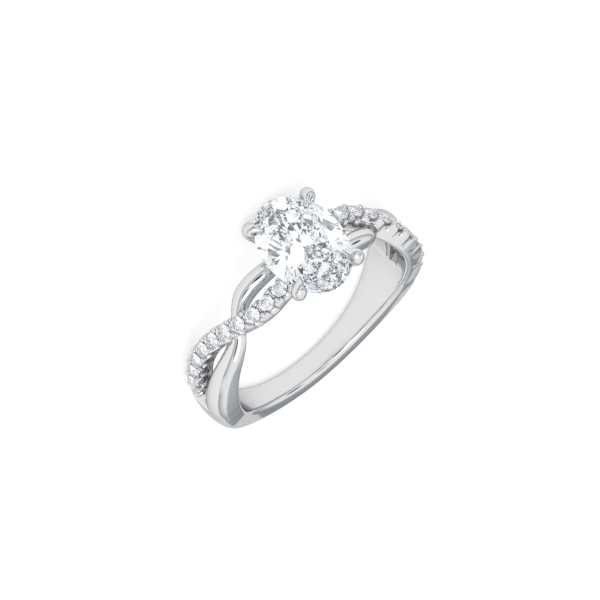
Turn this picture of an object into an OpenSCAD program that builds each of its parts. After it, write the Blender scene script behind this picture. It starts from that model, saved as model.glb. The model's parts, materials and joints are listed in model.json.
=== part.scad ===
// Twisted shank ring: an oval stone in four claws over a plain band that parts
// at each shoulder into a plain strand and a strand set with small stones.
// Millimetres. The ring is drawn upright, finger hole along Y and stone up Z,
// and then laid on its side, resting on the stone and the edge of the band.

/* [Finger hole] */
// Inside diameter of the ring
hole_d = 16.9; // [15.7:0.1:19.8]

/* [Band] */
// Width at the bottom of the finger hole
band_w = 2.1; // [1.8:0.05:2.6]
// Thickness at the bottom of the finger hole
band_t = 1.75; // [1.5:0.05:2]
// Width at the shoulders, where the band parts
shoulder_w = 4.2; // [4:0.05:4.6]
// Thickness at the shoulders
shoulder_t = 2.3; // [2.1:0.05:2.5]
// Height of the rounded top of the band
band_crown = 0.6; // [0.4:0.05:0.8]
// Rounding of the edges beside the finger
edge_r = 0.4; // [0.2:0.05:0.5]
// Angle from the stone at which the band parts
part_angle = 97; // [94:1:99]

/* [Strands] */
// Width of the plain strand
plain_w = 1.4; // [1.2:0.05:1.6]
// Thickness of the plain strand
plain_t = 1.55; // [1.4:0.05:1.7]
// Height of the rounded top of the plain strand
plain_crown = 0.55; // [0.4:0.05:0.7]
// Width of the strand that holds the small stones
pave_w = 1.5; // [1.45:0.01:1.6]
// Thickness of that strand, up to the girdles of its stones
pave_t = 1.7; // [1.55:0.05:1.85]
// How far the strands swing to each side of the band's middle
swing = 1.3; // [1.2:0.05:1.4]
// How far the plain strand dips where it passes under
dip = 0.5; // [0.3:0.05:0.6]

/* [Small stones] */
// Diameter of a small stone
accent_d = 1.28; // [1.1:0.02:1.3]
// Room between the girdles of neighbouring small stones
accent_space = 0.2; // [0.16:0.01:0.3]
// Angle from the stone to the first small stone
first_angle = 19.5; // [19:0.5:22]

/* [Centre stone] */
// Length of the stone
stone_l = 9.2; // [8.6:0.1:9.6]
// Width of the stone
stone_w = 6.6; // [6.2:0.1:7]
// Height of the crown over the girdle
stone_crown = 0.95; // [0.8:0.05:1.1]
// Thickness of the girdle
stone_girdle = 0.2; // [0.16:0.02:0.24]
// Depth of the pavilion below the girdle
stone_pavilion = 2.4; // [2.2:0.05:2.5]
// Room between the stone's point and the finger hole
culet_room = 0.15; // [0.1:0.05:0.5]
// How far the head is turned from the finger's line
head_turn = -7; // [-9:1:0]

/* [Claws] */
// Width of a claw at the girdle
claw_w = 1.02; // [0.9:0.02:1.1]
// How far a claw's middle stands outside the girdle
claw_out = 0.3; // [0.25:0.05:0.4]
// How far a claw's tip reaches in over the stone
claw_reach = 0.5; // [0.4:0.05:0.6]
// Thickness of the rail that joins the claws
rail_d = 0.56; // [0.5:0.02:0.6]

/* [Clearances] */
// Gap between a stone and its metal
seat_gap = 0.04; // [0.03:0.01:0.06]

/* [Hidden] */
hole_r = hole_d / 2;
// Girdle height of the oval stone over the middle of the finger hole
girdle_z = hole_r + culet_room + stone_pavilion + stone_girdle;

// Angle from the stone, then each strand's middle as a share of the swing,
// then the plain strand's width and thickness and the stone-set strand's
// thickness as shares of their own sizes, then the share of the dip.
PATH = [
    // angle, pave, plain, plain_w, plain_t, pave_t, dip
    [  0, -0.80,  0.80, 0.80, 0.50, 0.42, 0.0],
    [  5, -0.78,  0.82, 0.85, 0.53, 0.48, 0.0],
    [ 10, -0.75,  0.86, 0.92, 0.72, 0.74, 0.0],
    [ 16, -0.74,  0.90, 0.96, 0.92, 1.00, 0.0],
    [ 22, -0.77,  0.96, 1.00, 1.02, 1.03, 0.0],
    [ 28, -0.78,  0.98, 1.00, 1.05, 1.02, 0.0],
    [ 34, -0.65,  0.94, 1.00, 1.05, 1.01, 0.2],
    [ 40, -0.38,  0.72, 1.00, 1.03, 1.00, 0.7],
    [ 46, -0.02,  0.28, 1.02, 1.00, 0.99, 1.0],
    [ 52,  0.36, -0.22, 1.06, 1.00, 0.98, 1.0],
    [ 58,  0.70, -0.52, 1.08, 1.05, 0.97, 0.8],
    [ 64,  0.97, -0.65, 1.14, 1.10, 0.96, 0.5],
    [ 70,  1.15, -0.69, 1.22, 1.14, 0.96, 0.2],
    [ 77,  1.26, -0.71, 1.34, 1.18, 0.96, 0.0],
    [ 84,  1.29, -0.72, 1.46, 1.24, 0.97, 0.0],
    [ 91,  1.26, -0.73, 1.54, 1.31, 0.98, 0.0],
    [ 98,  1.18, -0.73, 1.56, 1.36, 0.99, 0.0],
    [106,  1.05, -0.72, 1.48, 1.34, 0.99, 0.0],
];
// Angle, then how far the band has widened and thickened from the bottom's
// size to the shoulder's.
BAND = [
    // angle, widening, thickening
    [ 97, 1.00, 0.96],
    [104, 1.00, 1.00],
    [112, 0.92, 1.00],
    [121, 0.70, 0.88],
    [131, 0.44, 0.64],
    [142, 0.22, 0.38],
    [154, 0.08, 0.16],
    [167, 0.01, 0.03],
    [180, 0.00, 0.00],
];

function lerp(a, b, t) = a + (b - a) * t;
// Smooth curve through a table's rows: the row that ends the stretch, then the
// slopes at its two ends.
function row_at(t, x, i = 1) = i >= len(t) - 1 || x <= t[i][0] ? i : row_at(t, x, i + 1);
function slope(t, i, c) =
    let (a = max(i - 1, 0), b = min(i + 1, len(t) - 1))
    (t[b][c] - t[a][c]) / (t[b][0] - t[a][0]);
function look(t, x, c) =
    let (
        i = row_at(t, x),
        d = t[i][0] - t[i - 1][0],
        u = min(max((x - t[i - 1][0]) / d, 0), 1),
        p = t[i - 1][c], q = t[i][c],
        m = slope(t, i - 1, c) * d, n = slope(t, i, c) * d
    )
    (2 * pow(u, 3) - 3 * u * u + 1) * p + (pow(u, 3) - 2 * u * u + u) * m
    + (3 * u * u - 2 * pow(u, 3)) * q + (pow(u, 3) - u * u) * n;

function pave_y(a) = swing * look(PATH, a, 1);
function plain_y(a) = swing * look(PATH, a, 2);
function plain_width(a) = plain_w * look(PATH, a, 3);
function plain_top(a) = hole_r + plain_t * look(PATH, a, 4) - dip * look(PATH, a, 6);
function pave_top(a) = hole_r + pave_t * look(PATH, a, 5);
function widened(a, c) = look(BAND, 180 - abs(180 - a), c);
function band_width(a) = lerp(band_w, shoulder_w, widened(a, 1));
function band_top(a) = hole_r + lerp(band_t, shoulder_t, widened(a, 2));
function band_crown_at(a) = band_crown * lerp(1, shoulder_w / band_w * 0.7, widened(a, 1));

// Place of a point at an angle from the stone, a radius and a depth along Y
function at(a, r, y) = [-r * sin(a), y, r * cos(a)];

// Outlines are [across, radius]. Each has a flat inner face on the finger hole,
// rounded inner edges and walls, and then its own top.
function foot(h, inner, edge) =
    let (e = min(edge, h * 0.6), m = e * sin(45))
    [[h - e, inner], [h - e + m, inner + e - m], [h, inner + e]];
function mirrored(points) = [for (i = [len(points) - 1:-1:0]) [-points[i][0], points[i][1]]];
TOP_POINTS = 8;
function round_outline(w, inner, top, crown, edge) =
    let (right = foot(w / 2, inner, edge))
    concat(
        right,
        [for (i = [0:TOP_POINTS - 1]) let (t = 180 * i / (TOP_POINTS - 1))
            [w / 2 * cos(t), top - crown + crown * sin(t)]],
        mirrored(right)
    );

// A closed solid through rings of as many points each, with blunt cones at its
// ends, so that no end is a flat face of many sides
BLUNT = 0.12;
function middle(ring) = [for (i = [0:len(ring) - 1]) 1] * ring / len(ring);
function tip(ring, before) =
    let (c = middle(ring), d = c - middle(before)) c + d / norm(d) * BLUNT;
module loft(rings) {
    n = len(rings[0]);
    m = len(rings);
    first = m * n;
    last = first + 1;
    end = (m - 1) * n;
    polyhedron(
        points = concat([for (ring = rings) each ring],
            [tip(rings[0], rings[1]), tip(rings[m - 1], rings[m - 2])]),
        faces = concat(
            [for (i = [0:n - 1]) [first, (i + 1) % n, i]],
            [for (k = [0:m - 2], i = [0:n - 1]) each
                let (a = k * n + i, b = k * n + (i + 1) % n)
                [[a, b, a + n], [b, b + n, a + n]]],
            [for (i = [0:n - 1]) [last, end + i, end + (i + 1) % n]]
        ),
        convexity = 8
    );
}

function stations(from, to, step) =
    let (n = ceil(abs(to - from) / step)) [for (i = [0:n]) from + (to - from) * i / n];
BAND_STEP = 5;
function band_rings() = [for (a = stations(part_angle, 360 - part_angle, BAND_STEP))
    [for (p = round_outline(band_width(a), hole_r, band_top(a), band_crown_at(a), edge_r))
        at(a, p[1], p[0])]];

// Small stones stand a pitch apart along the strand
accent_pitch = accent_d + accent_space;
function next_angle(a, share) =
    let (d = (pave_y(a + 0.5) - pave_y(a - 0.5)) * 180 / PI)
    a + share * accent_pitch / norm([pave_top(a), d]) * 180 / PI;
function steps_on(a, n) =
    n == 0 ? a : steps_on(next_angle(a, 0.25 * sign(n)), n - sign(n));
function accent_angle(i) = steps_on(first_angle, 4 * i);
// Angle at a number of pitches from the first small stone, whole or not
function pitches_on(p) =
    let (q = floor(4 * p), a = steps_on(first_angle, q))
    a + (next_angle(a, 0.25) - a) * (4 * p - q);

// Each arm holds as many small stones as fit before the band. The posts end a
// part of a pitch past the end stones, and the last may run a degree under it.
POST_END = 0.66;
POST_UNDER = 1;
function fitting(n) = pitches_on(n + POST_END) > part_angle + POST_UNDER ? n : fitting(n + 1);
accents_per_arm = fitting(0);

// Stands what is drawn at the origin, top up, on the strand at an angle
function pave_tilt(a) = atan2(pave_y(a + 1) - pave_y(a - 1), pave_top(a) * 2 * PI / 180);
module on_pave(a) {
    translate(at(a, pave_top(a), pave_y(a))) rotate([0, -a, 0]) rotate([0, 0, -pave_tilt(a)])
        children();
}

// Heights of a small stone as shares of its diameter
ACCENT_CROWN = 0.15;
ACCENT_PAVILION = 0.42;
ACCENT_GIRDLE = 0.03;

// The strand's top over one pitch, from the middle of one small stone to the
// middle of the next: hollowed under each stone for its pavilion and across to
// both walls, with a post between them that ends in a bead at either side.
// Heights are shares of the stone's diameter, over the strand's top.
SEAT = [
    // along, wall, bead, inside, middle
    [0.00, -0.36, -0.38, -0.46, -0.54],
    [0.19, -0.29, -0.31, -0.38, -0.38],
    [0.31, -0.16, -0.17, -0.22, -0.22],
    [0.36, -0.05,  0.03, -0.14, -0.17],
    [0.43, -0.03,  0.15, -0.02, -0.09],
    [0.57, -0.03,  0.15, -0.02, -0.09],
    [0.64, -0.05,  0.03, -0.14, -0.17],
    [0.69, -0.16, -0.17, -0.22, -0.22],
    [0.81, -0.29, -0.31, -0.38, -0.38],
];
BEAD_AT = 0.74;
INSIDE_AT = 0.45;
MIDDLE_AT = 0.12;
function seat_outline(row, inner, top) =
    let (
        h = pave_w / 2,
        right = concat(foot(h, inner, edge_r), [
            [h, top + accent_d * row[1]],
            [h * BEAD_AT, top + accent_d * row[2]],
            [h * INSIDE_AT, top + accent_d * row[3]],
            [h * MIDDLE_AT, top + accent_d * row[4]]
        ])
    )
    concat(right, mirrored(right));
// The plain stretches before the first bead and after the last
FLAT_ROW = [0, -0.06, 0, 0, 0];
// A point of the stone-set strand, square to the strand's own path
function on_path(a, p) =
    let (t = pave_tilt(a))
    at(a - p[0] * sin(t) / pave_top(a) * 180 / PI, p[1], pave_y(a) + p[0] * cos(t));

// One strand is plain on the far arm, passes under the oval stone, and holds
// the small stones on the near arm. Its inner face stands off the band's by a
// hair, so that no two faces lie in one surface.
HAIR = 0.015;
PLAIN_STEP = 5;
// Angles at which the plain part and the stone-set part start and end
PLAIN_FROM = 3.08;
PLAIN_TO = 103;
SEAT_FROM = 1.53;
SEAT_TO = 101;
function plain_part() = [for (a = stations(PLAIN_TO, PLAIN_FROM, PLAIN_STEP))
    [for (p = round_outline(plain_width(a), hole_r + HAIR, plain_top(a), plain_crown, edge_r))
        at(-a, p[1], p[0] - plain_y(a))]];
function flat_part(from, to) = [for (a = stations(from, to, PLAIN_STEP))
    [for (p = seat_outline(FLAT_ROW, hole_r + HAIR, pave_top(a))) on_path(a, p)]];
function seat_part() = [for (i = [-1:accents_per_arm - 1], row = SEAT)
    let (p = i + row[0])
    if (abs(p - (accents_per_arm - 1) / 2) < (accents_per_arm + 0.2) / 2)
    let (a = pitches_on(p)) [for (q = seat_outline(row, hole_r + HAIR, pave_top(a))) on_path(a, q)]];
function strand_rings() = concat(
    plain_part(),
    flat_part(SEAT_FROM, pitches_on(-POST_END)),
    seat_part(),
    flat_part(pitches_on(accents_per_arm - 1 + POST_END), SEAT_TO)
);

// Brilliant cut: half width and half length of the girdle, whose top lies at
// z = 0, crown and pavilion heights, and girdle thickness. fine is the number
// of girdle sides to each of the 16 girdle facets.
TABLE = 0.56;
LOWER = 0.24;
STAR = (TABLE * cos(22.5) + 1) / 2;
function oval(rx, ry, a, r, z) = [rx * r * cos(a), ry * r * sin(a), z];
// Height of a girdle facet's plane at an angle past its nearer junction
function sag(a, r, z) = z * (1 - cos(a - 11.25) / cos(11.25)) / (1 - r);
function brilliant_points(rx, ry, crown, pavilion, girdle, fine) =
    let (
        star_z = crown * (1 - STAR * cos(22.5)) / (1 - TABLE),
        low_z = -pavilion * (1 - LOWER * cos(22.5)),
        g = 22.5 / fine,
        sides = [0:16 * fine - 1]
    )
    concat(
        [for (i = [0:7]) oval(rx, ry, 45 * i, TABLE, crown)],
        [for (i = [0:7]) oval(rx, ry, 45 * i + 22.5, STAR, star_z)],
        [for (i = sides) oval(rx, ry, g * i, 1, sag(g * (i % fine), STAR, star_z))],
        [for (i = sides) oval(rx, ry, g * i, 1, -girdle + sag(g * (i % fine), LOWER, low_z))],
        [for (i = [0:7]) oval(rx, ry, 45 * i + 22.5, LOWER, -girdle + low_z)],
        [[0, 0, -girdle - pavilion]]
    );
module brilliant(points, fine) {
    n = 16 * fine;
    top = 16;
    bottom = top + n;
    low = bottom + n;
    culet = low + 8;
    faces = concat(
        [[for (i = [7:-1:0]) i]],
        [for (i = [0:7]) [i, (i + 1) % 8, 8 + i]],
        [for (i = [0:7]) [i, 8 + i, top + 2 * fine * i, 8 + (i + 7) % 8]],
        [for (i = [0:15]) let (s = 8 + floor(i / 2))
            concat([s], [for (k = [fine:-1:0]) top + (i * fine + k) % n])],
        [for (i = [0:n - 1]) let (j = (i + 1) % n) [top + i, top + j, bottom + j, bottom + i]],
        [for (i = [0:15]) let (s = low + floor(i / 2))
            concat([s], [for (k = [0:fine]) bottom + (i * fine + k) % n])],
        [for (i = [0:7]) [culet, low + (i + 7) % 8, bottom + 2 * fine * i, low + i]]
    );
    polyhedron(points = points, faces = faces, convexity = 2);
}

module accent_shape() {
    r = accent_d / 2;
    brilliant(brilliant_points(r, r, accent_d * ACCENT_CROWN, accent_d * ACCENT_PAVILION,
        accent_d * ACCENT_GIRDLE, 1), 1);
}

CENTRE_FINE = 4;
function centre_points(more) = [
    for (p = brilliant_points(stone_w / 2 + more, stone_l / 2 + more, stone_crown + more,
        stone_pavilion + more, stone_girdle, CENTRE_FINE))
    p + [0, 0, girdle_z]
];
module centre_shape() {
    brilliant(centre_points(0), CENTRE_FINE);
}
// Plain room round the oval stone, for cutting the metal
ROOM_SIDES = 24;
ROOM_PHASE = 0.1;
module stone_room() {
    grow = 1 / cos(180 / ROOM_SIDES);
    levels = [
        // share of the girdle, height
        [TABLE, girdle_z + stone_crown + seat_gap],
        [1, girdle_z + seat_gap],
        [1, girdle_z - stone_girdle - seat_gap],
        [0.02, girdle_z - stone_girdle - stone_pavilion - seat_gap]
    ];
    rx = (stone_w / 2 + seat_gap) * grow;
    ry = (stone_l / 2 + seat_gap) * grow;
    loft([for (v = levels) [for (k = [0:ROOM_SIDES - 1]) let (a = 360 * (k + ROOM_PHASE) / ROOM_SIDES)
        [rx * v[0] * cos(a), ry * v[0] * sin(a), v[1]]]]);
}

// Claws: the way a claw takes, as [distance from the stone's axis, height], is
// worked out from the girdle's edge at its place
CLAW_AT = 50.83;
claw_d = 1 / norm([cos(CLAW_AT) / stone_w, sin(CLAW_AT) / stone_l]) / 2;
claw_r = claw_w / 2;
pavilion_slope = atan2(stone_pavilion, claw_d);
function under(d, off) = girdle_z - stone_girdle - (claw_d - d) * tan(pavilion_slope)
    - off / cos(pavilion_slope);
CLAW = [
    // distance, height, half width
    [claw_d * 0.431, under(claw_d * 0.431, claw_r), claw_r * 0.74],
    [claw_d * 0.611, under(claw_d * 0.611, claw_r * 0.9), claw_r * 0.76],
    [claw_d * 0.82, under(claw_d * 0.82, claw_r * 0.9), claw_r * 0.80],
    [claw_d + claw_out * 0.5, girdle_z - claw_r * 0.95, claw_r * 0.90],
    [claw_d + claw_out, girdle_z - claw_r * 0.2, claw_r],
    [claw_d + claw_out * 0.85, girdle_z + claw_r * 0.45, claw_r * 0.92],
    [claw_d + claw_out * 0.2, girdle_z + claw_r * 0.85, claw_r * 0.66],
    [claw_d - claw_reach * 0.5, girdle_z + claw_r * 1.0, claw_r * 0.36],
    [claw_d - claw_reach, girdle_z + claw_r * 0.95, claw_r * 0.08],
];
CLAW_SIDES = 10;
function claw_rings() = [for (i = [0:len(CLAW) - 1])
    let (
        p = CLAW[max(i - 1, 0)], q = CLAW[min(i + 1, len(CLAW) - 1)],
        lean = atan2(q[1] - p[1], q[0] - p[0]), c = CLAW[i]
    )
    [for (k = [0:CLAW_SIDES - 1]) let (t = 360 * k / CLAW_SIDES)
        [c[0] - c[2] * cos(t) * sin(lean), c[2] * sin(t), c[1] + c[2] * cos(t) * cos(lean)]]];
// The rail goes round the pavilion at a share of its depth
RAIL_AT = 0.561;
RAIL_RINGS = 22;
RAIL_SIDES = 6;
module rail() {
    z = girdle_z - stone_girdle - stone_pavilion * RAIL_AT;
    side = rail_d / 2 + seat_gap;
    rx = stone_w / 2 * 0.42 + side / sin(atan2(stone_pavilion, stone_w / 2));
    ry = stone_l / 2 * 0.42 + side / sin(atan2(stone_pavilion, stone_l / 2));
    n = RAIL_RINGS;
    sides = RAIL_SIDES;
    rings = [for (k = [0:n - 1]) let (a = 360 * k / n)
        [for (j = [0:sides - 1]) let (t = 360 * j / sides, w = rail_d / 2)
            [(rx + w * cos(t)) * cos(a), (ry + w * cos(t)) * sin(a), z + w * sin(t)]]];
    polyhedron(
        points = [for (ring = rings) each ring],
        faces = [for (k = [0:n - 1], i = [0:sides - 1]) each
            let (j = (k + 1) % n, next = (i + 1) % sides,
                a = k * sides + i, b = k * sides + next,
                c = j * sides + i, d = j * sides + next)
            [[a, b, c], [b, d, c]]],
        convexity = 4
    );
}

module head() {
    rotate([0, 0, head_turn]) {
        for (a = claw_places) rotate([0, 0, a]) loft(claw_rings());
        rail();
    }
}

// All the metal in one closed shape
module metal() {
    loft(band_rings());
    difference() {
        union() {
            for (turn = [0, 180]) rotate([0, 0, turn]) loft(strand_rings());
            head();
        }
        rotate([0, 0, head_turn]) stone_room();
    }
}

// Laid on its side: the stone's end and the edge of the band touch the floor
stone_reach = norm([stone_l / 2 * cos(head_turn), stone_w / 2 * sin(head_turn)]);
band_corner = hole_r + band_t - band_crown;
lie = atan2(stone_reach - band_w / 2, girdle_z - stone_girdle + band_corner);
function turned(p, a) = [p[0] * cos(a) - p[1] * sin(a), p[0] * sin(a) + p[1] * cos(a), p[2]];
function laid_y(p) = p[1] * sin(lie) + p[2] * cos(lie);
function laid_z(p) = p[2] * sin(lie) - p[1] * cos(lie);
claw_places = [CLAW_AT, 180 - CLAW_AT, 180 + CLAW_AT, -CLAW_AT];
claw_points = [for (a = claw_places, ring = claw_rings(), p = ring) turned(p, a + head_turn)];
outer_points = concat(
    [for (ring = band_rings()) each ring],
    [for (p = centre_points(0)) turned(p, head_turn)],
    claw_points
);
floor_z = min([for (p = outer_points) laid_z(p)]);
mid_y = (min([for (p = outer_points) laid_y(p)]) + max([for (p = outer_points) laid_y(p)])) / 2;
module lay() {
    translate([0, -mid_y, -floor_z]) rotate([lie - 90, 0, 0]) children();
}

module shank() {
    color("gainsboro") lay() resize([0, 0, 0]) metal();
}

module centre_stone() {
    color("aliceblue") lay() rotate([0, 0, head_turn]) centre_shape();
}

// Small stones are counted from the head down the left arm, then the right
module accent_stone(k) {
    arm = floor((k - 1) / accents_per_arm);
    i = (k - 1) % accents_per_arm;
    color("white") lay() rotate([0, 0, 180 * arm]) on_pave(accent_angle(i)) accent_shape();
}

accent_total = 2 * accents_per_arm;
function accent_name(k) = str("accent_stone_", k < 10 ? "0" : "", k);

shank();
centre_stone();
for (k = [1:accent_total])
    accent_stone(k);
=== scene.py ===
import json
from collections import Counter
from math import asin, atan2, ceil, cos, degrees, hypot, pi, radians, sin, tan

import bmesh
import bpy
from mathutils import Matrix, Vector


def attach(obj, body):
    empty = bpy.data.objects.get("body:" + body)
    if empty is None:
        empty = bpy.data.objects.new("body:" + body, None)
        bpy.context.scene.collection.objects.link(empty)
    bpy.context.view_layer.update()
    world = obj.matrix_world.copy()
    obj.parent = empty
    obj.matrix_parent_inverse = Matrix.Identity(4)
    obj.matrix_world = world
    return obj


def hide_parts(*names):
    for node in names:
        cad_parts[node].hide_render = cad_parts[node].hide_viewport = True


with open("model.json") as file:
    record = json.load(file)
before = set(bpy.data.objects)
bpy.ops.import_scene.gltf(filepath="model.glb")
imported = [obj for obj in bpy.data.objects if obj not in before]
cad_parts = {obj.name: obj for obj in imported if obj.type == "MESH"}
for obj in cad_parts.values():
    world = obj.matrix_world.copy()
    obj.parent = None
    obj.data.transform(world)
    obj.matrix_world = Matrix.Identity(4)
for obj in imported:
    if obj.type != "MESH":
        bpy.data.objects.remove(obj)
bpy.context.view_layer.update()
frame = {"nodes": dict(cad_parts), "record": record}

# Sizes, mm
HOLE_R = 8.45
BAND_W, BAND_T = 2.1, 1.75
SHOULDER_W, SHOULDER_T = 4.2, 2.3
BAND_CROWN, EDGE_R = 0.6, 0.4
PART_ANGLE = 97
PLAIN_W, PLAIN_T, PLAIN_CROWN = 1.4, 1.55, 0.55
PAVE_W, PAVE_T = 1.5, 1.7
SWING, DIP = 1.3, 0.5
ACCENT_D, ACCENT_SPACE = 1.28, 0.2
ACCENTS_PER_ARM, FIRST_ANGLE = 10, 19.5
BEAD_D = 0.44
STONE_L, STONE_W = 9.2, 6.6
STONE_GIRDLE, STONE_PAVILION = 0.2, 2.4
CULET_ROOM, HEAD_TURN = 0.15, -7
CLAW_W, CLAW_OUT, CLAW_REACH, RAIL_D = 1.02, 0.3, 0.8, 0.56
SEAT_GAP = 0.04
GIRDLE_Z = HOLE_R + CULET_ROOM + STONE_PAVILION + STONE_GIRDLE

# Each strand's middle as a share of the swing, then its width and thickness
# as shares of their own sizes, then the shares of the dip and of the plain crown
PATH = [
    # angle, pave, plain, plain_w, plain_t, pave_t, dip, plain_crown
    (0, -0.80, 0.80, 0.80, 0.50, 0.42, 0.0, 1.0),
    (5, -0.78, 0.82, 0.85, 0.53, 0.48, 0.0, 1.0),
    (10, -0.75, 0.86, 0.92, 0.72, 0.74, 0.0, 1.0),
    (16, -0.74, 0.90, 0.96, 0.92, 1.00, 0.0, 1.0),
    (22, -0.77, 0.96, 1.00, 1.02, 1.03, 0.0, 1.0),
    (28, -0.78, 0.98, 1.00, 1.05, 1.02, 0.0, 1.0),
    (34, -0.65, 0.94, 1.00, 1.05, 1.01, 0.2, 1.0),
    (40, -0.38, 0.72, 1.00, 1.03, 1.00, 0.7, 1.0),
    (46, -0.02, 0.28, 1.02, 1.00, 0.99, 1.0, 1.0),
    (52, 0.36, -0.22, 1.06, 1.00, 0.98, 1.0, 1.0),
    (58, 0.70, -0.52, 1.08, 1.05, 0.97, 0.8, 1.0),
    (64, 0.97, -0.65, 1.14, 1.10, 0.96, 0.5, 1.0),
    (70, 1.15, -0.69, 1.22, 1.14, 0.96, 0.2, 1.0),
    (77, 1.26, -0.71, 1.36, 1.21, 0.96, 0.0, 1.1),
    (84, 1.29, -0.72, 1.50, 1.30, 0.97, 0.0, 1.25),
    (91, 1.26, -0.73, 1.60, 1.40, 0.98, 0.0, 1.4),
    (98, 1.18, -0.73, 1.65, 1.43, 0.99, 0.0, 1.5),
    (106, 1.05, -0.70, 1.55, 1.29, 0.98, 0.0, 1.5),
    (114, 0.88, -0.62, 1.30, 1.08, 0.90, 0.0, 1.5),
]
# How far the band has widened and thickened towards the shoulder
BAND = [
    # angle, widening, thickening
    (97, 1.00, 0.96),
    (104, 1.00, 1.00),
    (112, 0.92, 1.00),
    (121, 0.70, 0.88),
    (131, 0.44, 0.64),
    (142, 0.22, 0.38),
    (154, 0.08, 0.16),
    (167, 0.01, 0.03),
    (180, 0.00, 0.00),
]


def lerp(a, b, t):
    return a + (b - a) * t


def slope(table, i, c):
    a, b = max(i - 1, 0), min(i + 1, len(table) - 1)
    return (table[b][c] - table[a][c]) / (table[b][0] - table[a][0])


def look(table, x, c):
    """Smooth curve through column c of a table, read at x."""
    i = 1
    while i < len(table) - 1 and x > table[i][0]:
        i += 1
    d = table[i][0] - table[i - 1][0]
    u = min(max((x - table[i - 1][0]) / d, 0), 1)
    p, q = table[i - 1][c], table[i][c]
    m, n = slope(table, i - 1, c) * d, slope(table, i, c) * d
    return ((2 * u**3 - 3 * u * u + 1) * p + (u**3 - 2 * u * u + u) * m
            + (3 * u * u - 2 * u**3) * q + (u**3 - u * u) * n)


def pave_y(a):
    return SWING * look(PATH, a, 1)


def plain_y(a):
    return SWING * look(PATH, a, 2)


def plain_top(a):
    return HOLE_R + PLAIN_T * look(PATH, a, 4) - DIP * look(PATH, a, 6)


def pave_top(a):
    return HOLE_R + PAVE_T * look(PATH, a, 5)


def at(a, r, y):
    """Place of a point at an angle from the stone, a radius and a depth."""
    return Vector((-r * sin(radians(a)), y, r * cos(radians(a))))


# Where the ring lies
hole = next(m for m in frame["record"]["mounts"] if m["name"] == "finger_hole")
hole_axis = Vector(hole["axis"]).normalized()
across = Vector((1, 0, 0))
MM = 0.001
LAY = (Matrix.Translation(hole["pos_m"])
       @ Matrix((across, -hole_axis, across.cross(-hole_axis))).transposed().to_4x4()
       @ Matrix.Scale(MM, 4))


# Meshing
def skin(bm, rings, closed=False):
    """One outline, extruded from ring to ring, capped at its ends."""
    n = len(rings[0])
    ring = [bm.verts.new(p) for p in rings[0]]
    edges = [bm.edges.new((ring[i], ring[(i + 1) % n])) for i in range(n)]
    first = ring
    for points in rings[1:]:
        made = bmesh.ops.extrude_edge_only(bm, edges=edges)["geom"]
        new = {v for v in made if isinstance(v, bmesh.types.BMVert)}
        ring = [next(e.other_vert(v) for e in v.link_edges if e.other_vert(v) in new)
                for v in ring]
        edges = [bm.edges.get((ring[i], ring[(i + 1) % n])) for i in range(n)]
        for v, p in zip(ring, points):
            v.co = p
    if closed:
        bmesh.ops.bridge_loops(bm, edges=edges + [bm.edges.get((first[i], first[(i + 1) % n]))
                                                  for i in range(n)])
    else:
        bm.faces.new(first)
        bm.faces.new(ring)


def solid(name, build):
    """A mesh object of what build draws in millimetres, faces outward."""
    bm = bmesh.new()
    build(bm)
    bmesh.ops.recalc_face_normals(bm, faces=bm.faces)
    mesh = bpy.data.meshes.new(name)
    bm.to_mesh(mesh)
    bm.free()
    piece = bpy.data.objects.new(name, mesh)
    bpy.context.scene.collection.objects.link(piece)
    return piece


def boolean(piece, other, operation):
    """Joins or cuts piece with other, which is used up."""
    m = piece.modifiers.new("join", "BOOLEAN")
    m.operation = operation
    m.solver = "MANIFOLD"
    m.object = other
    graph = bpy.context.evaluated_depsgraph_get()
    made = bpy.data.meshes.new_from_object(piece.evaluated_get(graph))
    piece.modifiers.clear()
    old, piece.data = piece.data, made
    bpy.data.meshes.remove(old)
    bpy.data.objects.remove(other)


def circle(n):
    return [2 * pi * k / n for k in range(n)]


def stations(start, end, step):
    n = ceil(abs(end - start) / step)
    return [start + (end - start) * i / n for i in range(n + 1)]


EDGE_STEPS, TOP_STEPS = 8, 24
# The widest inner edge, as a share of half the width it rounds
WIDEST_EDGE = 0.6
# Degrees round the finger hole from one outline to the next
OUTLINE_STEP = 1
# Angles at which the strands end: just past the oval stone's middle, where they
# meet those of the other arm, and inside the shoulder
PLAIN_ENDS, PAVE_ENDS = (-3, 114), (-2, 113)
# Inner faces stand off each other by a hair, so that no two lie in one surface
HAIR = 0.002


def foot(h, inner):
    """The rounded inner edge, from the finger hole up the wall."""
    e = min(EDGE_R, h * WIDEST_EDGE)
    quarter = [pi / 2 * i / EDGE_STEPS for i in range(EDGE_STEPS + 1)]
    return [(h - e + e * sin(t), inner + e - e * cos(t)) for t in quarter]


def outline(w, inner, top, crown):
    """Rounded inner edges, walls and a rounded top, as (depth, radius)."""
    h = w / 2
    right = foot(h, inner)
    arch = [pi * i / TOP_STEPS for i in range(TOP_STEPS + 1)]
    points = right + [(h * cos(t), top - crown + crown * sin(t)) for t in arch]
    return points + [(-y, r) for y, r in reversed(right)]


def plain_strand(bm):
    skin(bm, [[at(a, r, plain_y(a) + y) for y, r in outline(
        PLAIN_W * look(PATH, a, 3), HOLE_R + HAIR, plain_top(a),
        PLAIN_CROWN * look(PATH, a, 7))] for a in stations(*PLAIN_ENDS, OUTLINE_STEP)])


# How much of the band's widening its crown follows, at the shoulder
CROWN_GROWTH = 0.7


def band(bm):
    rings = []
    for a in stations(PART_ANGLE, 360 - PART_ANGLE, OUTLINE_STEP):
        near = 180 - abs(180 - a)
        wide, thick = look(BAND, near, 1), look(BAND, near, 2)
        crown = BAND_CROWN * lerp(1, SHOULDER_W / BAND_W * CROWN_GROWTH, wide)
        rings.append([at(a, r, y) for y, r in outline(
            lerp(BAND_W, SHOULDER_W, wide), HOLE_R, HOLE_R + lerp(BAND_T, SHOULDER_T, thick),
            crown)])
    skin(bm, rings)


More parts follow.
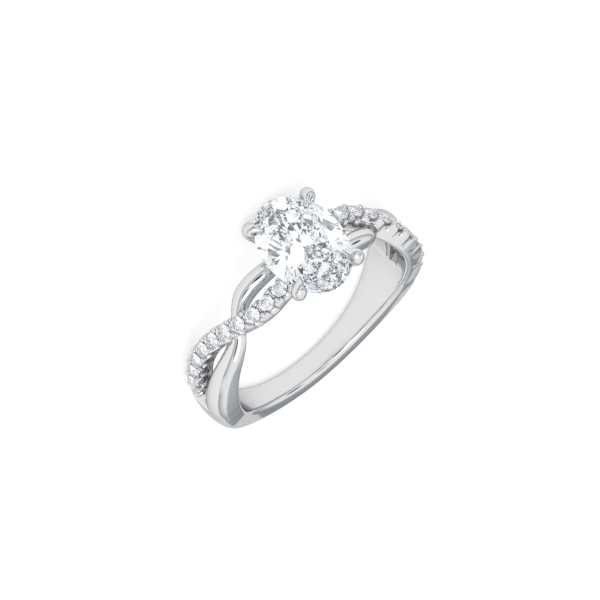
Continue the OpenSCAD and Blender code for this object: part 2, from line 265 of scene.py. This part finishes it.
def pave_tilt(a):
    return atan2(pave_y(a + 1) - pave_y(a - 1), pave_top(a) * radians(2))


def next_angle(a, share):
    d = (pave_y(a + 0.5) - pave_y(a - 0.5)) * 180 / pi
    return a + share * (ACCENT_D + ACCENT_SPACE) / hypot(pave_top(a), d) * 180 / pi


def steps_on(a, n):
    for _ in range(abs(n)):
        a = next_angle(a, 0.25 if n > 0 else -0.25)
    return a


# Bevel along both top edges of the stone-set strand
CHAMFER = 0.08


def pave_body(bm):
    """The stone-set strand before its seats are cut, square to its own path."""
    h = PAVE_W / 2
    rings = []
    for a in stations(*PAVE_ENDS, OUTLINE_STEP):
        top, tilt = pave_top(a), pave_tilt(a)
        right = foot(h, HOLE_R + 2 * HAIR) + [(h, top - CHAMFER), (h - CHAMFER, top)]
        points = right + [(-u, r) for u, r in reversed(right)]
        rings.append([at(a - degrees(u * sin(tilt) / top), r, pave_y(a) + u * cos(tilt))
                      for u, r in points])
    skin(bm, rings)


def on_pave(a):
    """Turns what is drawn at the origin, top up, onto the strand."""
    return (Matrix.Translation(at(a, pave_top(a), pave_y(a)))
            @ Matrix.Rotation(radians(-a), 4, "Y")
            @ Matrix.Rotation(-pave_tilt(a), 4, "Z"))


# Radius of the scallop under a small stone, and the heights of the stone's
# girdle and pavilion, as shares of its diameter
HOLLOW = 0.30
ACCENT_GIRDLE, ACCENT_PAVILION = 0.03, 0.42
# Width of the blunt point of a seat's cone, as a share of the seat's width
SEAT_POINT = 0.02


def seats(bm):
    """A cone under each small stone and a straight pocket from its girdle up."""
    r = ACCENT_D / 2 + SEAT_GAP
    girdle = ACCENT_D * ACCENT_GIRDLE + SEAT_GAP
    depth = ACCENT_D * ACCENT_PAVILION + SEAT_GAP
    for i in range(ACCENTS_PER_ARM):
        place = on_pave(steps_on(FIRST_ANGLE, 4 * i))
        skin(bm, [[place @ Vector((w * cos(t), w * sin(t), z)) for t in circle(48)]
                  for w, z in ((r * SEAT_POINT, -girdle - depth), (r, -girdle), (r, ACCENT_D))])


def hollows(bm):
    for i in range(ACCENTS_PER_ARM):
        place = on_pave(steps_on(FIRST_ANGLE, 4 * i))
        bmesh.ops.create_cone(bm, cap_ends=True, segments=48, radius1=ACCENT_D * HOLLOW,
                              radius2=ACCENT_D * HOLLOW, depth=2 * PAVE_W,
                              matrix=place @ Matrix.Rotation(pi / 2, 4, "X"))


def beads(bm):
    for i in range(ACCENTS_PER_ARM + 1):
        place = on_pave(steps_on(FIRST_ANGLE, 4 * i - 2))
        for side in (-1, 1):
            bmesh.ops.create_uvsphere(bm, u_segments=16, v_segments=10, radius=BEAD_D / 2,
                                      matrix=place @ Matrix.Translation((0, side * (PAVE_W - BEAD_D) / 2, 0)))


# Angle from the oval stone's width to a claw
CLAW_AT = 50.83
claw_d = 1 / hypot(cos(radians(CLAW_AT)) / STONE_W, sin(radians(CLAW_AT)) / STONE_L) / 2
claw_r = CLAW_W / 2
pavilion_slope = atan2(STONE_PAVILION, claw_d)


def under(d, off):
    return (GIRDLE_Z - STONE_GIRDLE - (claw_d - d) * tan(pavilion_slope)
            - off / cos(pavilion_slope))


CLAW = [
    # step, distance, height, half width
    (0, claw_d * 0.431, under(claw_d * 0.431, claw_r), claw_r * 0.74),
    (1, claw_d * 0.611, under(claw_d * 0.611, claw_r * 0.9), claw_r * 0.76),
    (2, claw_d * 0.82, under(claw_d * 0.82, claw_r * 0.9), claw_r * 0.80),
    (3, claw_d + CLAW_OUT * 0.5, GIRDLE_Z - claw_r * 0.95, claw_r * 1.06),
    (4, claw_d + CLAW_OUT, GIRDLE_Z - claw_r * 0.2, claw_r * 1.22),
    (5, claw_d + CLAW_OUT * 0.85, GIRDLE_Z + claw_r * 0.45, claw_r * 1.16),
    (6, claw_d + CLAW_OUT * 0.2, GIRDLE_Z + claw_r * 0.85, claw_r * 0.86),
    (7, claw_d - CLAW_REACH * 0.5, GIRDLE_Z + claw_r * 1.0, claw_r * 0.44),
    (8, claw_d - CLAW_REACH, GIRDLE_Z + claw_r * 0.95, claw_r * 0.08),
]


CLAW_TIP, CLAW_STEP = CLAW[-1][0], 0.2


def claws(bm):
    rings = []
    for s in stations(0, CLAW_TIP, CLAW_STEP):
        d, z, w = (look(CLAW, s, c) for c in (1, 2, 3))
        after, before = min(s + CLAW_STEP / 2, CLAW_TIP), max(s - CLAW_STEP / 2, 0)
        ds, zs = (look(CLAW, after, c) - look(CLAW, before, c) for c in (1, 2))
        lean = atan2(zs, ds)
        rings.append([Vector((d - w * cos(t) * sin(lean), w * sin(t), z + w * cos(t) * cos(lean)))
                      for t in circle(32)])
    for place in (CLAW_AT, 180 - CLAW_AT, 180 + CLAW_AT, -CLAW_AT):
        turn = Matrix.Rotation(radians(place + HEAD_TURN), 3, "Z")
        skin(bm, [[turn @ p for p in ring] for ring in rings])


# Where the rail runs: its depth as a share of the pavilion's, and its reach as a
# share of the stone's half width and half length
RAIL_DEPTH, RAIL_REACH = 0.561, 0.42


def rail(bm):
    z = GIRDLE_Z - STONE_GIRDLE - STONE_PAVILION * RAIL_DEPTH
    side = RAIL_D / 2 + SEAT_GAP
    rx = STONE_W / 2 * RAIL_REACH + side / sin(atan2(STONE_PAVILION, STONE_W / 2))
    ry = STONE_L / 2 * RAIL_REACH + side / sin(atan2(STONE_PAVILION, STONE_L / 2))
    turn = Matrix.Rotation(radians(HEAD_TURN), 3, "Z")
    w = RAIL_D / 2
    skin(bm, [[turn @ Vector(((rx + w * cos(t)) * cos(a), (ry + w * cos(t)) * sin(a), z + w * sin(t)))
               for t in circle(16)] for a in circle(96)], closed=True)


def half_turn(piece):
    """A copy of a piece on the other arm."""
    copy = bpy.data.objects.new(piece.name + "_far", piece.data.copy())
    copy.data.transform(Matrix.Rotation(pi, 4, "Z"))
    bpy.context.scene.collection.objects.link(copy)
    return copy


arm = solid("pave_strand", pave_body)
for cutter in (seats, hollows):
    boolean(arm, solid("cutter", cutter), "DIFFERENCE")
boolean(arm, solid("beads", beads), "UNION")
boolean(arm, solid("plain_strand", plain_strand), "UNION")
metal = arm
boolean(metal, half_turn(arm), "UNION")
boolean(metal, solid("band", band), "UNION")
boolean(metal, solid("claws", claws), "UNION")
boolean(metal, solid("rail", rail), "UNION")

# The oval stone's own room is cut with a slightly larger copy of the stone
stone = frame["nodes"]["centre_stone"]
room = bpy.data.objects.new("room", stone.data.copy())
bpy.context.scene.collection.objects.link(room)
bm = bmesh.new()
bm.from_mesh(room.data)
bmesh.ops.remove_doubles(bm, verts=bm.verts, dist=1e-7)
bmesh.ops.transform(bm, matrix=LAY.inverted(), verts=bm.verts)
centre = Vector((0, 0, GIRDLE_Z))
for v in bm.verts:
    v.co = centre + (v.co - centre) * (1 + 2 * SEAT_GAP / STONE_W)
bm.to_mesh(room.data)
bm.free()
boolean(metal, room, "DIFFERENCE")

# Shortest edge that the joins may leave, mm
SLIVER = 0.0002
# Degrees between two faces from which their edge is drawn sharp
SHARP = 38
bm = bmesh.new()
bm.from_mesh(metal.data)
bmesh.ops.dissolve_degenerate(bm, dist=SLIVER, edges=bm.edges)
bmesh.ops.triangulate(bm, faces=[f for f in bm.faces if len(f.verts) > 4])
# Two faces that the dissolve leaves back to back enclose nothing
corners = Counter(frozenset(face.verts) for face in bm.faces)
doubled = [face for face in bm.faces if corners[frozenset(face.verts)] > 1]
bmesh.ops.delete(bm, geom=doubled, context="FACES")
bm.to_mesh(metal.data)
bm.free()
metal.name = metal.data.name = "ring_metal"
metal.data.transform(LAY)
metal.data.shade_smooth()
metal.data.set_sharp_from_angle(angle=radians(SHARP))
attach(metal, "root")
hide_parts("shank")


# Shading
class Socket:
    """A node's output in an expression, whose arithmetic adds Math nodes."""

    def __init__(self, maker, output):
        self.maker, self.output = maker, output

    def math(self, operation, *inputs):
        return self.maker.add("ShaderNodeMath", {"operation": operation},
                              dict(enumerate(inputs)))

    def __add__(self, other):
        return self.math("ADD", self, other)

    def __rsub__(self, other):
        return self.math("SUBTRACT", other, self)

    def __mul__(self, other):
        return self.math("MULTIPLY", self, other)

    __rmul__ = __mul__


class Shader:
    """Adds nodes to one tree."""

    def __init__(self, tree):
        self.tree = tree
        tree.nodes.clear()

    def add(self, kind, settings=None, inputs=None, output=0):
        node = self.tree.nodes.new(kind)
        for name, value in (settings or {}).items():
            setattr(node, name, value)
        for name, value in (inputs or {}).items():
            if isinstance(value, Socket):
                self.tree.links.new(value.output, node.inputs[name])
            else:
                node.inputs[name].default_value = value
        return Socket(self, node.outputs[output]) if node.outputs else None


def material(name, viewport):
    made = bpy.data.materials.new(name)
    made.use_nodes = True
    made.diffuse_color = viewport
    return made, Shader(made.node_tree)


def paint(piece, finish):
    piece.data.materials.clear()
    piece.data.materials.append(finish)


def white_gold():
    finish, s = material("polished_white_gold", (0.83, 0.83, 0.84, 1))
    place = s.add("ShaderNodeTexCoord", output=3)
    polish = s.add("ShaderNodeTexNoise", None, {"Vector": place, "Scale": 900.0, "Detail": 3.0})
    rounded = s.add("ShaderNodeBevel", {"samples": 6}, {"Radius": 0.03 * MM})
    s.add("ShaderNodeOutputMaterial", None, {"Surface": s.add("ShaderNodeBsdfPrincipled", None, {
        "Base Color": (0.68, 0.68, 0.683, 1),
        "Specular Tint": (0.6, 0.6, 0.61, 1),
        "Metallic": 1.0,
        "Roughness": polish * 0.05 + 0.06,
        "Normal": rounded,
    })})
    return finish


def diamond(name, backed, water):
    """Clear stone; a backed facet throws all the light inside it back."""
    finish, s = material(name, (0.93, 0.95, 0.97, 1))
    cut = s.add("ShaderNodeBsdfPrincipled", None, {
        "Base Color": water, "Roughness": 0.0, "IOR": 2.417, "Transmission Weight": 1.0})
    if backed:
        mirror = s.add("ShaderNodeBsdfPrincipled", None, {
            "Base Color": water, "Roughness": 0.0, "Metallic": 1.0})
        inside = s.add("ShaderNodeNewGeometry", output=6)
        cut = s.add("ShaderNodeMixShader", None, {0: inside, 1: cut, 2: mirror})
    s.add("ShaderNodeOutputMaterial", None, {"Surface": cut})
    return finish


paint(metal, white_gold())
# How far a face may lean from the table, as a cosine, before it is backed
BACKED_BELOW = 0.05
CENTRE_WATER, ACCENT_WATER = (0.985, 0.993, 1.0, 1), (0.94, 0.945, 0.955, 1)
centre_cut, accent_cut = (
    [diamond(name + "_crown", False, water), diamond(name + "_pavilion", True, water)]
    for name, water in (("diamond", CENTRE_WATER), ("small_diamond", ACCENT_WATER)))
for name, node in frame["nodes"].items():
    if name == "shank":
        continue
    crown, pavilion = centre_cut if name == "centre_stone" else accent_cut
    paint(node, crown)
    node.data.materials.append(pavilion)
    table = max(node.data.polygons, key=lambda face: face.area).normal.copy()
    for face in node.data.polygons:
        face.material_index = int(face.normal.dot(table) < BACKED_BELOW)

# Stage
FLOOR = 2.0
bm = bmesh.new()
bmesh.ops.create_grid(bm, x_segments=1, y_segments=1, size=FLOOR)
floor_mesh = bpy.data.meshes.new("floor")
bm.to_mesh(floor_mesh)
bm.free()
floor = bpy.data.objects.new("floor", floor_mesh)
bpy.context.scene.collection.objects.link(floor)
finish, s = material("pale_floor", (0.9, 0.9, 0.9, 1))
s.add("ShaderNodeOutputMaterial", None, {"Surface": s.add("ShaderNodeBsdfPrincipled", None, {
    "Base Color": (0.6, 0.6, 0.6, 1), "Roughness": 0.7, "Specular IOR Level": 0.2,
    "Emission Color": (1.0, 1.0, 1.0, 1), "Emission Strength": 0.52})})
paint(floor, finish)

# The camera as the photograph has it against the ring: seen from azimuth and
# elevation about the stone's axis, rolled a little, a metre off
VIEW_AZ, VIEW_EL, VIEW_ROLL = radians(-40.326), radians(61.06), radians(-1.819)
VIEW_OFF = (-0.414, 1.142)
VIEW_FAR = 1000
PIXELS_PER_MM, PICTURE = 12.999, 600
SENSOR = 36
back = Vector((sin(VIEW_AZ) * cos(VIEW_EL), -cos(VIEW_AZ) * cos(VIEW_EL), sin(VIEW_EL)))
right = Vector((0, 0, 1)).cross(back).normalized()
up = back.cross(right)
turn = Matrix((cos(VIEW_ROLL) * right + sin(VIEW_ROLL) * up,
               cos(VIEW_ROLL) * up - sin(VIEW_ROLL) * right, back)).transposed()
camera_data = bpy.data.cameras.new("camera")
camera = bpy.data.objects.new("camera", camera_data)
bpy.context.scene.collection.objects.link(camera)
camera_data.sensor_width = SENSOR
camera_data.lens = SENSOR * PIXELS_PER_MM * VIEW_FAR / PICTURE
camera_data.clip_start, camera_data.clip_end = 0.01, 10
spot = LAY @ (turn @ Vector((*VIEW_OFF, VIEW_FAR)))
facing = (LAY.to_3x3() * (1 / MM)) @ turn
camera.matrix_world = Matrix.Translation(spot) @ facing.to_4x4()
bpy.context.scene.camera = camera

# Lights
SKY = 1.08
# The sky's brightness at the horizon and high up, as shares of that, and the
# sine of the elevation from which it is full
SKY_LOW, SKY_HIGH, SKY_FULL = 0.55, 1.05, 0.6
KEY, KEY_SIZE, KEY_PLACE = 0.9, 0.5, (-0.35, 0.3, 0.6)
view = (facing @ Vector((0, 0, 1))).normalized()
VIEW_WAY = (degrees(atan2(view.x, view.y)), degrees(asin(view.z)))
# Dark and bright cards round the ring: the way to each, from +Y towards +X and
# up from the floor, how wide it is and how softly it ends, and its share of the
# light that would come from there
CARDS = [
    # azimuth, elevation, half width, soft edge, level
    (*VIEW_WAY, 9, 3, 0.06),
    (13, 9, 8, 3, 0.12),
    (68, 44, 6, 8, 0.08),
    (-56, 34, 7, 8, 0.10),
    (15, 54, 5, 3, 0.15),
    (-109, 8, 7, 10, 1.4),
    (150, 22, 14, 10, 0.7),
]
world = bpy.data.worlds.new("studio")
bpy.context.scene.world = world
world.use_nodes = True
s = Shader(world.node_tree)
way = s.add("ShaderNodeTexCoord", output=0)


def toward(azimuth, elevation, wide, soft):
    """1 within an angle of a direction, fading to 0 over a softer rim."""
    a, e = radians(azimuth), radians(elevation)
    dot = s.add("ShaderNodeVectorMath", {"operation": "DOT_PRODUCT"},
                {0: way, 1: (sin(a) * cos(e), cos(a) * cos(e), sin(e))}, output=1)
    return s.add("ShaderNodeMapRange", {"interpolation_type": "SMOOTHSTEP"}, {
        "Value": dot, "From Min": cos(radians(wide + soft)), "From Max": cos(radians(wide)),
        "To Min": 0.0, "To Max": 1.0})


height = s.add("ShaderNodeSeparateXYZ", None, {0: way}, output=2)
glow = s.add("ShaderNodeMapRange", {"interpolation_type": "SMOOTHSTEP"}, {
    "Value": height, "From Min": 0.0, "From Max": SKY_FULL, "To Min": SKY_LOW, "To Max": SKY_HIGH})
for azimuth, elevation, wide, soft, left in CARDS:
    glow = glow * (1 - (1 - left) * toward(azimuth, elevation, wide, soft))
tint = s.add("ShaderNodeMix", {"data_type": "RGBA"}, {
    "Factor": glow, "A": (0.78, 0.9, 1.0, 1), "B": (1.0, 1.0, 1.0, 1)}, output=2)
s.add("ShaderNodeOutputWorld", None, {"Surface": s.add("ShaderNodeBackground", None, {
    "Color": tint, "Strength": glow * SKY})})

key_data = bpy.data.lights.new("key", "AREA")
key_data.size = KEY_SIZE
key_data.energy = KEY
key = bpy.data.objects.new("key", key_data)
key.location = KEY_PLACE
key.rotation_mode = "QUATERNION"
key.rotation_quaternion = key.location.to_track_quat("Z", "Y")
bpy.context.scene.collection.objects.link(key)

bpy.context.scene.view_settings.view_transform = "Standard"
# The cut stones need many turns of the light inside them
BOUNCES = 20
bpy.context.scene.cycles.max_bounces = BOUNCES
bpy.context.scene.cycles.glossy_bounces = BOUNCES
